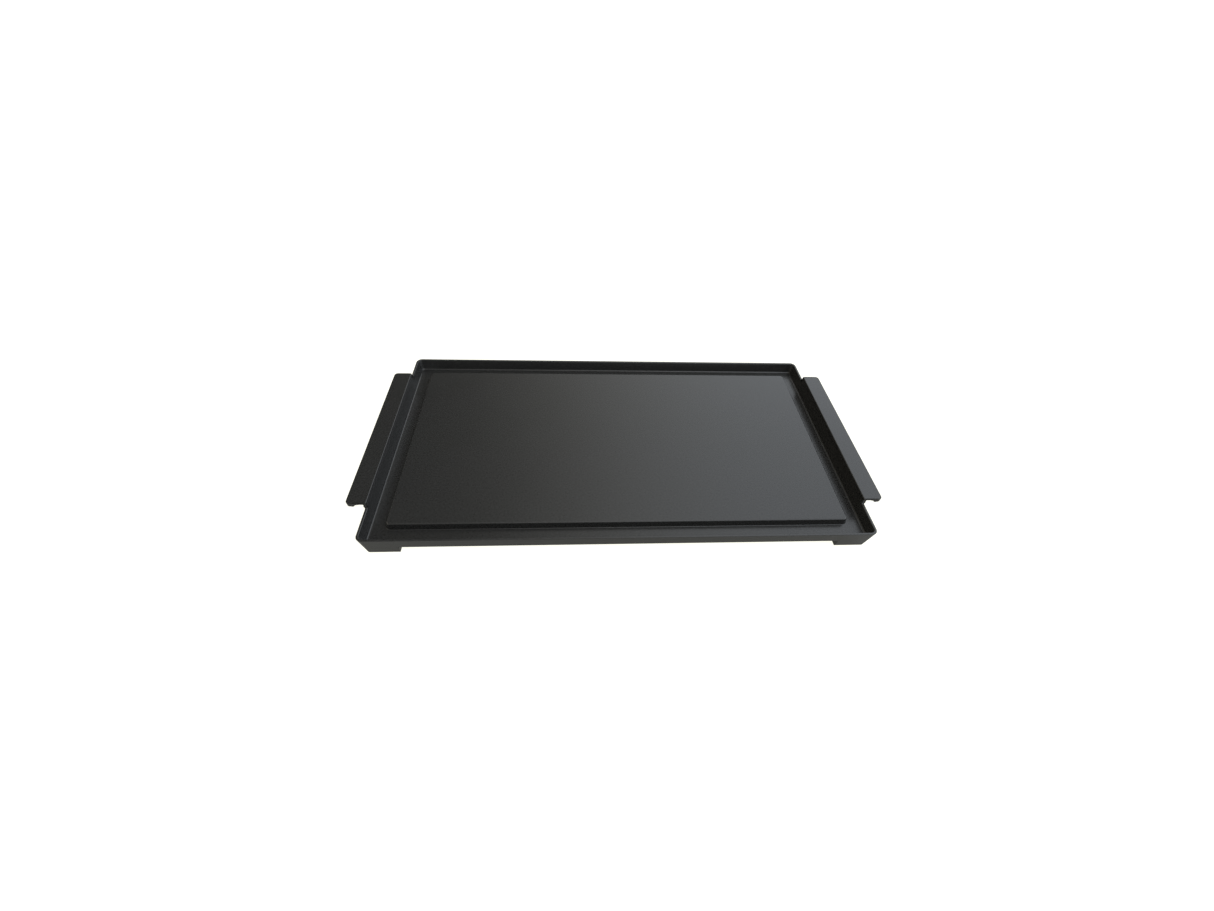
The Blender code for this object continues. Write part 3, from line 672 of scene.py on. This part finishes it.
        def to_lip(vert: BMVert) -> Vector:
            """Carry the wall's outer side out to the lip's inner line."""
            back = self.rim_half_x - abs(vert.co.x)
            x = sign * (lip_inner - back - self._trim(vert.co.y))
            return Vector((x, vert.co.y, vert.co.z))

        outer = pull_faces(bm, outer, to_lip)
        outer = pull_faces(bm, outer, lambda vert: vert.co + Vector((sign * self.lip_width, 0.0, 0.0)))
        lip_line = lip_inner - 1.5 * self.handle_corner
        under = [
            face
            for face in bm.faces
            if face.normal.z < -0.5
            and face.calc_center_median().x * sign > lip_line
            and all(abs(v.co.z - flange_foot) < SLACK for v in face.verts)
        ]
        pull_faces(bm, under, lambda vert: vert.co - Vector((0.0, 0.0, self.lip_depth)))

    def _pull_legs(self, bm: BMesh) -> None:
        """Draw the corner legs and the blocks that hold the pads down from the walls."""
        legs = [
            face
            for face in self._faces_between(bm, "wall_end_start", "leg_inner_end")
            if self._beyond(face, self.leg_x - SLACK, self.leg_y - SLACK)
        ]
        blocks = [
            face
            for face in self._faces_between(bm, "leg_inner_start", "block_inner_end")
            if self._beyond(face, self.pad_block_x - SLACK, self.pad_block_y - SLACK)
        ]
        drop = self.wall_foot_z - self.foot_z
        draft = self.wall_draft * drop / (self.rim_z - self.wall_foot_z)
        wall = self.outline(self.wall_draft, self.rim_radius - self.wall_draft)
        drawn_in = self.outline(self.wall_draft + draft, self.rim_radius - self.wall_draft - draft)
        inward = [low - high for low, high in zip(drawn_in, wall)]
        inner_level = self.levels["leg_inner_end"]

        def lower(vert: BMVert) -> Vector:
            """Move a vertex down to the foot, with the wall's draft and the drafted ends."""
            place = vert.co - Vector((0.0, 0.0, drop))
            if abs(abs(vert.co.x) - self.leg_x) < SLACK:
                place.x += math.copysign(self.leg_end_draft, place.x)
            if abs(abs(vert.co.y) - self.leg_y) < SLACK:
                place.y += math.copysign(self.leg_end_draft, place.y)
            if vert[self.level] <= inner_level:
                place += inward[vert[self.station]]
            return place

        pull_faces(bm, legs + blocks, lower)

    @staticmethod
    def _beyond(face: BMFace, x: float, y: float) -> bool:
        """Tell whether a face lies wholly in one corner, beyond x and y."""
        middle = face.calc_center_median()
        in_corner = abs(middle.x) > x and abs(middle.y) > y
        return in_corner and all(abs(v.co.x) > x and abs(v.co.y) > y for v in face.verts)

    def _round_joins(self, bm: BMesh) -> None:
        """Round what the section leaves sharp: the joins of handles and legs, and their ends."""
        end_y = self.handle_half_length
        saddles = [
            edge
            for edge in sharp_edges(bm, -120.0, -50.0)
            if all(
                abs(abs(v.co.y) - end_y) < SLACK and v.co.z < self.rim_z + SLACK
                for v in edge.verts
            )
        ]
        bevel_edges(bm, saddles, self.saddle_round, 6)
        bevel_edges(bm, sharp_edges(bm, -120.0, -50.0), self.hollow_round, 3)
        bevel_edges(bm, sharp_edges(bm, 50.0, 120.0), self.outer_round, 3)


# Underside ------------------------------------------------------------------


@dataclass
class BottomCover:
    """The pressed sheet pan that closes the underside."""

    sheet: float = 0.8 * MM
    bend: float = 2.0 * MM
    corner: float = 30.0 * MM
    notch_half_x: float = 45.6 * MM
    notch_depth: float = 27.6 * MM
    bead_depth: float = 1.2 * MM
    bead_width: float = 14.0 * MM
    bead_slope: float = 1.68 * MM
    long_bead_half: float = 105.0 * MM
    front_bead_off: float = 70.0 * MM
    rear_bead_off: float = 42.0 * MM
    short_bead_half: float = 55.0 * MM
    short_bead_x: float = 205.0 * MM

    def build(self) -> bpy.types.Object:
        """Model the pan and return its piece."""
        low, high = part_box("bottom_cover")
        bm = bmesh.new()
        self._draw_floor(bm, low, high)
        self._press_beads(bm, low, high)
        rim = [edge for edge in bm.edges if len(edge.link_faces) == 1]
        height = high.z - low.z
        extend_ring(bm, rim, lambda vert: vert.co + Vector((0.0, 0.0, height)))
        bm.normal_update()
        corners = [
            edge
            for edge in bm.edges
            if len(edge.link_faces) == 2 and abs(edge.calc_face_angle(0.0)) > math.radians(60.0)
            and all(abs(v.co.z - low.z) < SLACK for v in edge.verts)
        ]
        bevel_edges(bm, corners, self.bend, 5)
        bmesh.ops.recalc_face_normals(bm, faces=bm.faces[:])
        self._face_outwards(bm)
        bmesh.ops.solidify(bm, geom=bm.faces[:], thickness=self.sheet)
        return finish_piece(bm, "bottom_cover_pan", GALVANISED, ["bottom_cover"])

    @staticmethod
    def _face_outwards(bm: BMesh) -> None:
        """Turn the open pan so that its floor faces down."""
        bm.normal_update()
        floor = max(bm.faces, key=lambda face: face.calc_area())
        if floor.normal.z > 0.0:
            bmesh.ops.reverse_faces(bm, faces=bm.faces[:])

    def _draw_floor(self, bm: BMesh, low: Vector, high: Vector) -> None:
        """Draw the flat floor with its notch for the inlet and rounded corners."""
        notch_y = high.y - self.notch_depth
        corners = [
            (low.x, low.y), (high.x, low.y), (high.x, high.y), (self.notch_half_x, high.y),
            (self.notch_half_x, notch_y), (-self.notch_half_x, notch_y),
            (-self.notch_half_x, high.y), (low.x, high.y),
        ]
        verts = [bm.verts.new((x, y, low.z)) for x, y in corners]
        bm.faces.new(verts)
        outer = [vert for vert in verts if abs(vert.co.x) > high.x - 1.0 * MM]
        bmesh.ops.bevel(
            bm, geom=outer, offset=self.corner, offset_type="OFFSET", affect="VERTICES",
            segments=10, profile=0.5, material=-1,
        )

    def _press_beads(self, bm: BMesh, low: Vector, high: Vector) -> None:
        """Press two long stiffening beads and two short ones into the floor."""
        middle_y = (low.y + high.y) / 2.0
        half = self.bead_width / 2.0
        beads = [
            (0.0, middle_y - self.front_bead_off, self.long_bead_half, half),
            (0.0, middle_y + self.rear_bead_off, self.long_bead_half, half),
            (-self.short_bead_x, middle_y, half, self.short_bead_half),
            (self.short_bead_x, middle_y, half, self.short_bead_half),
        ]
        cuts_x = {round(x + sign * half_x, 6) for x, _, half_x, _ in beads for sign in (-1.0, 1.0)}
        cuts_y = {round(y + sign * half_y, 6) for _, y, _, half_y in beads for sign in (-1.0, 1.0)}
        for place in sorted(cuts_x):
            self._cut_floor(bm, Vector((place, 0.0, 0.0)), Vector((1.0, 0.0, 0.0)))
        for place in sorted(cuts_y):
            self._cut_floor(bm, Vector((0.0, place, 0.0)), Vector((0.0, 1.0, 0.0)))
        for x, y, half_x, half_y in beads:
            inside = [
                face
                for face in bm.faces
                if abs(face.calc_center_median().x - x) < half_x
                and abs(face.calc_center_median().y - y) < half_y
            ]
            for share in (0.35, 0.65):
                bmesh.ops.inset_region(bm, faces=inside, thickness=self.bead_slope)
                verts = {vert for face in inside for vert in face.verts}
                lift = (0.0, 0.0, self.bead_depth * share)
                bmesh.ops.translate(bm, verts=list(verts), vec=lift)

    @staticmethod
    def _cut_floor(bm: BMesh, place: Vector, normal: Vector) -> None:
        """Divide the floor along a plane."""
        everything = bm.verts[:] + bm.edges[:] + bm.faces[:]
        bmesh.ops.bisect_plane(bm, geom=everything, plane_co=place, plane_no=normal)


@dataclass
class Screw:
    """A pan-head screw with a cross recess, its head facing down."""

    sides: int = 32
    recess_reach: float = 1.7 * MM
    recess_half_width: float = 0.42 * MM
    recess_depth: float = 0.8 * MM
    shank_radius: float = 1.5 * MM
    head_height: float = 1.3 * MM
    edge_break: float = 0.12 * MM

    def build(self, node: str) -> bpy.types.Object:
        """Model the screw where a packed screw is.

        Args:
            node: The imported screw.

        Returns:
            The new piece.
        """
        low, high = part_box(node)
        middle = (low + high) / 2.0
        head_radius = max(high.y - low.y, high.x - low.x) / 2.0
        seat = low.z + self.head_height
        # Recess, its broken edge, the crowned head, its seat, the shank and its point.
        rings: list[tuple[Callable[[float], float], float]] = [
            (lambda turn: self._recess(turn) * 0.55, low.z + self.recess_depth),
            (lambda turn: self._recess(turn), low.z + self.edge_break),
            (lambda turn: self._recess(turn) + self.edge_break, low.z),
            (lambda turn: head_radius * 0.72, low.z),
            (lambda turn: head_radius * 0.90, low.z + 0.22 * MM),
            (lambda turn: head_radius * 0.985, low.z + 0.55 * MM),
            (lambda turn: head_radius, low.z + 0.85 * MM),
            (lambda turn: head_radius, seat),
            (lambda turn: self.shank_radius, seat),
            (lambda turn: self.shank_radius, high.z - self.shank_radius),
            (lambda turn: self.shank_radius * 0.5, high.z),
        ]
        bm = bmesh.new()
        station = bm.verts.layers.int.new("station")
        first = bmesh.ops.create_circle(bm, cap_ends=True, segments=self.sides, radius=1.0)["verts"]
        for index, vert in enumerate(first):
            vert[station] = index
            vert.co = self._at(index, *rings[0])
        edges = bm.edges[:]
        for radius, height in rings[1:]:
            edges = extend_ring(
                bm, edges, lambda vert, r=radius, z=height: self._at(vert[station], r, z)
            )
        bmesh.ops.contextual_create(bm, geom=edges)
        bmesh.ops.translate(bm, verts=bm.verts[:], vec=(middle.x, middle.y, 0.0))
        return finish_piece(bm, node + "_cross_head", ZINC_STEEL, [node], 35.0)

    def _at(self, index: int, radius: Callable[[float], float], height: float) -> Vector:
        """Return the point of a ring at one of its stations."""
        turn = 2.0 * math.pi * index / self.sides
        reach = radius(turn)
        return Vector((reach * math.cos(turn), reach * math.sin(turn), height))

    def _recess(self, turn: float) -> float:
        """Return the cross recess's reach in one direction."""
        off_arm = abs((turn + math.pi / 4.0) % (math.pi / 2.0) - math.pi / 4.0)
        if math.tan(off_arm) * self.recess_reach <= self.recess_half_width:
            return self.recess_reach / math.cos(off_arm)
        return self.recess_half_width / math.sin(off_arm)


@dataclass
class TurnedPiece:
    """A round piece spun from a profile of (radius, distance) pairs about an axis."""

    steps: int = 40

    def spin(self, profile: list[tuple[float, float]], closed: bool) -> BMesh:
        """Spin a profile about Z.

        Args:
            profile: Radius and height of each point.
            closed: Whether the last point joins the first, as on a sleeve.

        Returns:
            The round mesh, open at neither end.
        """
        bm = bmesh.new()
        verts = [bm.verts.new((radius, 0.0, height)) for radius, height in profile]
        pairs = list(zip(verts, verts[1:]))
        if closed:
            pairs.append((verts[-1], verts[0]))
        edges = [bm.edges.new(pair) for pair in pairs]
        bmesh.ops.spin(
            bm, geom=verts + edges, cent=(0.0, 0.0, 0.0), axis=(0.0, 0.0, 1.0),
            angle=2.0 * math.pi, steps=self.steps, use_merge=True, use_duplicate=False,
        )
        bmesh.ops.remove_doubles(bm, verts=bm.verts[:], dist=0.001 * MM)
        return bm

    @staticmethod
    def rounded_end(radius: float, end: float, back: float, steps: int = 5) -> list[tuple[float, float]]:
        """Return a rounded rim from the axis side outwards.

        Args:
            radius: The piece's radius.
            end: Where the piece ends.
            back: The rounding, signed towards the piece's middle.
            steps: Points along the rounding.

        Returns:
            Radius and distance of each point.
        """
        points = []
        size = abs(back)
        for step in range(steps + 1):
            angle = math.pi / 2.0 * step / steps
            out = radius - size + size * math.sin(angle)
            points.append((out, end + back * (1.0 - math.cos(angle))))
        return points


@dataclass
class FootPad(TurnedPiece):
    """A round silicone pad under one leg."""

    gap: float = 0.05 * MM
    dish_depth: float = 0.25 * MM
    dish_share: float = 0.55
    ring_share: float = 0.62
    edge_round: float = 0.6 * MM

    def build(self, node: str) -> bpy.types.Object:
        """Model the pad where a packed pad is, up to the underside of its leg."""
        low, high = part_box(node)
        middle = (low + high) / 2.0
        radius = (high.x - low.x) / 2.0
        leg_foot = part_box("griddle_plate")[0].z
        dish_z = low.z + self.dish_depth
        profile = [(0.0, dish_z), (radius * self.dish_share, dish_z)]
        profile += [(radius * self.ring_share, low.z)]
        profile += self.rounded_end(radius, low.z, self.edge_round)
        profile += [(radius, leg_foot - self.gap), (0.0, leg_foot - self.gap)]
        bm = self.spin(profile, closed=False)
        bmesh.ops.translate(bm, verts=bm.verts[:], vec=(middle.x, middle.y, 0.0))
        return finish_piece(bm, node + "_moulded", SILICONE, [node])


# Inlet ----------------------------------------------------------------------


@dataclass
class Inlet(TurnedPiece):
    """The inlet at the back: moulding, pins, insulators, sleeve and earth blade."""

    edge_round: float = 0.5 * MM
    blade_round: float = 0.15 * MM
    insulator_bore: float = 1.9 * MM
    sensor_bore: float = 2.1 * MM
    pin_tip: float = 1.2 * MM
    sleeve_rim: float = 0.25 * MM

    def build(self) -> None:
        """Model the pieces of the inlet that show."""
        self._soften("inlet_housing", "inlet_moulding", PHENOLIC, "phenolic_moulding", self.edge_round)
        self._soften("earth_contact", "earth_blade", BRASS, "brass", self.blade_round)
        for side in ("left", "right"):
            self._turn_pin("terminal_pin_" + side)
            self._turn_sleeve("pin_insulator_" + side, CERAMIC, "ceramic", self.insulator_bore)
        self._turn_sleeve("sensor_sleeve", ZINC_STEEL, "plain_steel", self.sensor_bore)
        dress_nodes(["earth_contact_screw"], ZINC_STEEL)

    @staticmethod
    def _soften(node: str, name: str, finish: Finish, slot: str, width: float) -> None:
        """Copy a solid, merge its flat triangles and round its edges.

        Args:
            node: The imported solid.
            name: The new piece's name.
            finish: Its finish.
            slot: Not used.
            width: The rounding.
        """
        bm = bmesh.new()
        bm.from_mesh(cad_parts[node].data)
        bmesh.ops.remove_doubles(bm, verts=bm.verts[:], dist=0.002 * MM)
        bmesh.ops.dissolve_limit(
            bm, angle_limit=math.radians(2.0), verts=bm.verts[:], edges=bm.edges[:]
        )
        bm.normal_update()
        bevel_edges(bm, sharp_edges(bm, 50.0, 130.0), width, 3)
        finish_piece(bm, name, finish, [node])

    @staticmethod
    def _lay_back(bm: BMesh, node: str) -> None:
        """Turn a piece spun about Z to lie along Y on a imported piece's axis."""
        low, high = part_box(node)
        middle = (low + high) / 2.0
        # A quarter turn about X takes a height z to the place y = -z.
        turn = Matrix.Rotation(math.radians(90.0), 4, "X")
        place = Matrix.Translation((middle.x, 0.0, middle.z))
        bmesh.ops.transform(bm, matrix=place @ turn, verts=bm.verts[:])

    def _turn_pin(self, node: str) -> None:
        """Spin a terminal pin with a rounded tip."""
        low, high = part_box(node)
        radius = (high.z - low.z) / 2.0
        profile = [(0.0, -high.y), *self.rounded_end(radius, -high.y, self.pin_tip, 7)]
        profile += [(radius, -low.y), (0.0, -low.y)]
        bm = self.spin(profile, closed=False)
        self._lay_back(bm, node)
        finish_piece(bm, node + "_turned", ZINC_STEEL, [node])

    def _turn_sleeve(self, node: str, finish: Finish, slot: str, bore: float) -> None:
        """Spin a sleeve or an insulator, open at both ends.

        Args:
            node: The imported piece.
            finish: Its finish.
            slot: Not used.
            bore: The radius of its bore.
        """
        low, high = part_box(node)
        radius = (high.z - low.z) / 2.0
        profile = [(bore, -high.y), *self.rounded_end(radius, -high.y, self.sleeve_rim, 3)]
        profile += [(radius, -low.y), (bore, -low.y)]
        bm = self.spin(profile, closed=True)
        self._lay_back(bm, node)
        finish_piece(bm, node + "_turned", finish, [node])


# Pieces sealed inside -------------------------------------------------------


@dataclass
class Heater:
    """The element, its clamps and the mat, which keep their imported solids."""

    clamps: tuple[str, ...] = (
        "rear_right", "rear_left", "right", "left", "front_right", "front_left", "centre",
    )

    def dress(self) -> None:
        """Give each sealed piece its finish."""
        dress_nodes(["element_sheath"], SHEATH)
        dress_nodes(["element_magnesia_fill"], MAGNESIA)
        dress_nodes(["element_resistance_coil"], ALLOY)
        dress_nodes(["insulation_mat"], FIBRE_MAT)
        dress_nodes(["element_clamp_" + where for where in self.clamps], ZINC_STEEL)
        dress_nodes(["clamp_screw_" + where for where in self.clamps], ZINC_STEEL)


# Studio ---------------------------------------------------------------------


@dataclass
class Studio:
    """White floor, soft light that is stronger from the right, and the camera."""

    floor_half: float = 60.0
    floor_grey: float = 0.2
    floor_glow: float = 0.25
    floor_white: float = 1.05
    floor_tint: tuple[float, float, float] = (1.0, 0.99, 0.88)
    floor_roughness: float = 0.95
    floor_specular: float = 0.1
    dim: float = 0.09
    bright: float = 1.9
    window: float = 1.0
    left_fill: float = 1.6
    horizon: float = 0.3
    seen_level: float = 1.1
    bright_span: tuple[float, float] = (-0.31, 0.34)
    window_span: tuple[float, float] = (0.62, 0.95)
    left_span: tuple[float, float] = (0.5, 0.9)
    horizon_span: tuple[float, float] = (0.05, 0.5)
    tint_span: tuple[float, float] = (-0.5, 0.5)
    warm: tuple[float, float, float] = (1.07, 1.0, 0.84)
    cool: tuple[float, float, float] = (0.94, 1.0, 1.07)
    key_strength: float = 0.4
    key_angle: float = 70.0
    key_tilt: float = 18.0
    key_heading: float = -25.0
    camera_place: tuple[float, float, float] = (-0.05512, -0.44051, 0.46957)
    camera_heading: float = 0.1010
    camera_dip: float = 0.8311
    camera_roll: float = 0.0725
    lens: float = 14.49

    def build(self) -> None:
        """Lay the floor, light it and place the camera."""
        self._lay_floor()
        self._light_world()
        self._hang_key()
        self._place_camera()
        bpy.context.scene.view_settings.view_transform = "Standard"

    def _lay_floor(self) -> None:
        """Lay the pale floor that the griddle stands on."""
        bm = bmesh.new()
        bmesh.ops.create_grid(bm, x_segments=1, y_segments=1, size=self.floor_half)
        mesh = bpy.data.meshes.new("floor")
        bm.to_mesh(mesh)
        bm.free()
        material = bpy.data.materials.new("floor paper")
        sheet = NodeSheet(material)
        shader = sheet.tree.nodes["Principled BSDF"]
        shader.inputs["Base Color"].default_value = (*(self.floor_grey,) * 3, 1.0)
        shader.inputs["Roughness"].default_value = self.floor_roughness
        shader.inputs["Specular IOR Level"].default_value = self.floor_specular
        shader.inputs["Emission Color"].default_value = (*self.floor_tint, 1.0)
        # The paper looks white, and lights the dark coating less than its white would.
        seen = sheet.node("ShaderNodeLightPath", output="Is Camera Ray")
        glow = seen * (self.floor_white - self.floor_glow) + self.floor_glow
        sheet.feed(shader.inputs["Emission Strength"], glow)
        mesh.materials.append(material)
        floor = bpy.data.objects.new("floor", mesh)
        bpy.context.scene.collection.objects.link(floor)

    def _light_world(self) -> None:
        """Light the room softly, from dim on the left to bright on the right."""
        world = bpy.data.worlds.new("studio")
        bpy.context.scene.world = world
        sheet = NodeSheet(world)
        direction = sheet.node("ShaderNodeTexCoord", output="Generated")
        across = sheet.node("ShaderNodeSeparateXYZ", inputs={"Vector": direction}, output="X")
        height = sheet.node("ShaderNodeSeparateXYZ", inputs={"Vector": direction}, output="Z")
        level = self._rise(sheet, across, self.bright_span) * self.bright + self.dim
        level = level + self._rise(sheet, across, self.window_span) * self.window
        level = level + self._rise(sheet, 0.0 - across, self.left_span) * self.left_fill
        above = self._rise(sheet, height, self.horizon_span)
        level = level * (above * (1.0 - self.horizon) + self.horizon)
        seen = sheet.node("ShaderNodeLightPath", output="Is Camera Ray")
        background = sheet.tree.nodes["Background"]
        tint = sheet.blend(self._rise(sheet, across, self.tint_span), self.warm, self.cool)
        sheet.feed(background.inputs["Color"], tint)
        sheet.feed(background.inputs["Strength"], level * (1.0 - seen) + seen * self.seen_level)

    @staticmethod
    def _rise(sheet: NodeSheet, value: Wire, span: tuple[float, float]) -> Wire:
        """Return a smooth step from 0 at the span's start to 1 at its end."""
        return sheet.node(
            "ShaderNodeMapRange",
            {"interpolation_type": "SMOOTHSTEP"},
            {"Value": value, "From Min": span[0], "From Max": span[1]},
        )

    def _hang_key(self) -> None:
        """Hang the large soft key light above and in front."""
        light = bpy.data.lights.new("key", "SUN")
        light.energy = self.key_strength
        light.angle = math.radians(self.key_angle)
        key = bpy.data.objects.new("key", light)
        key.rotation_euler = (math.radians(self.key_tilt), 0.0, math.radians(self.key_heading))
        bpy.context.scene.collection.objects.link(key)

    def _place_camera(self) -> None:
        """Place the camera in front and above, looking down at the griddle."""
        data = bpy.data.cameras.new("camera")
        data.lens = self.lens
        data.sensor_width = 36.0
        data.clip_start = 0.01
        data.clip_end = 500.0
        camera = bpy.data.objects.new("camera", data)
        heading = Matrix.Rotation(-self.camera_heading, 4, "Z")
        dip = Matrix.Rotation(math.pi / 2.0 - self.camera_dip, 4, "X")
        roll = Matrix.Rotation(self.camera_roll, 4, "Z")
        camera.matrix_world = Matrix.Translation(self.camera_place) @ heading @ dip @ roll
        bpy.context.scene.collection.objects.link(camera)
        bpy.context.scene.camera = camera


def main() -> None:
    """Build every piece, then the studio."""
    logging.basicConfig(level=logging.INFO, format="%(name)s: %(message)s")
    Casting().build()
    BottomCover().build()
    for name in sorted(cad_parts):
        if name.startswith(("cover_screw_", "housing_screw_")):
            Screw().build(name)
        if name.startswith("foot_pad_"):
            FootPad().build(name)
    Inlet().build()
    Heater().dress()
    Studio().build()


if __name__ == "__main__":
    main()
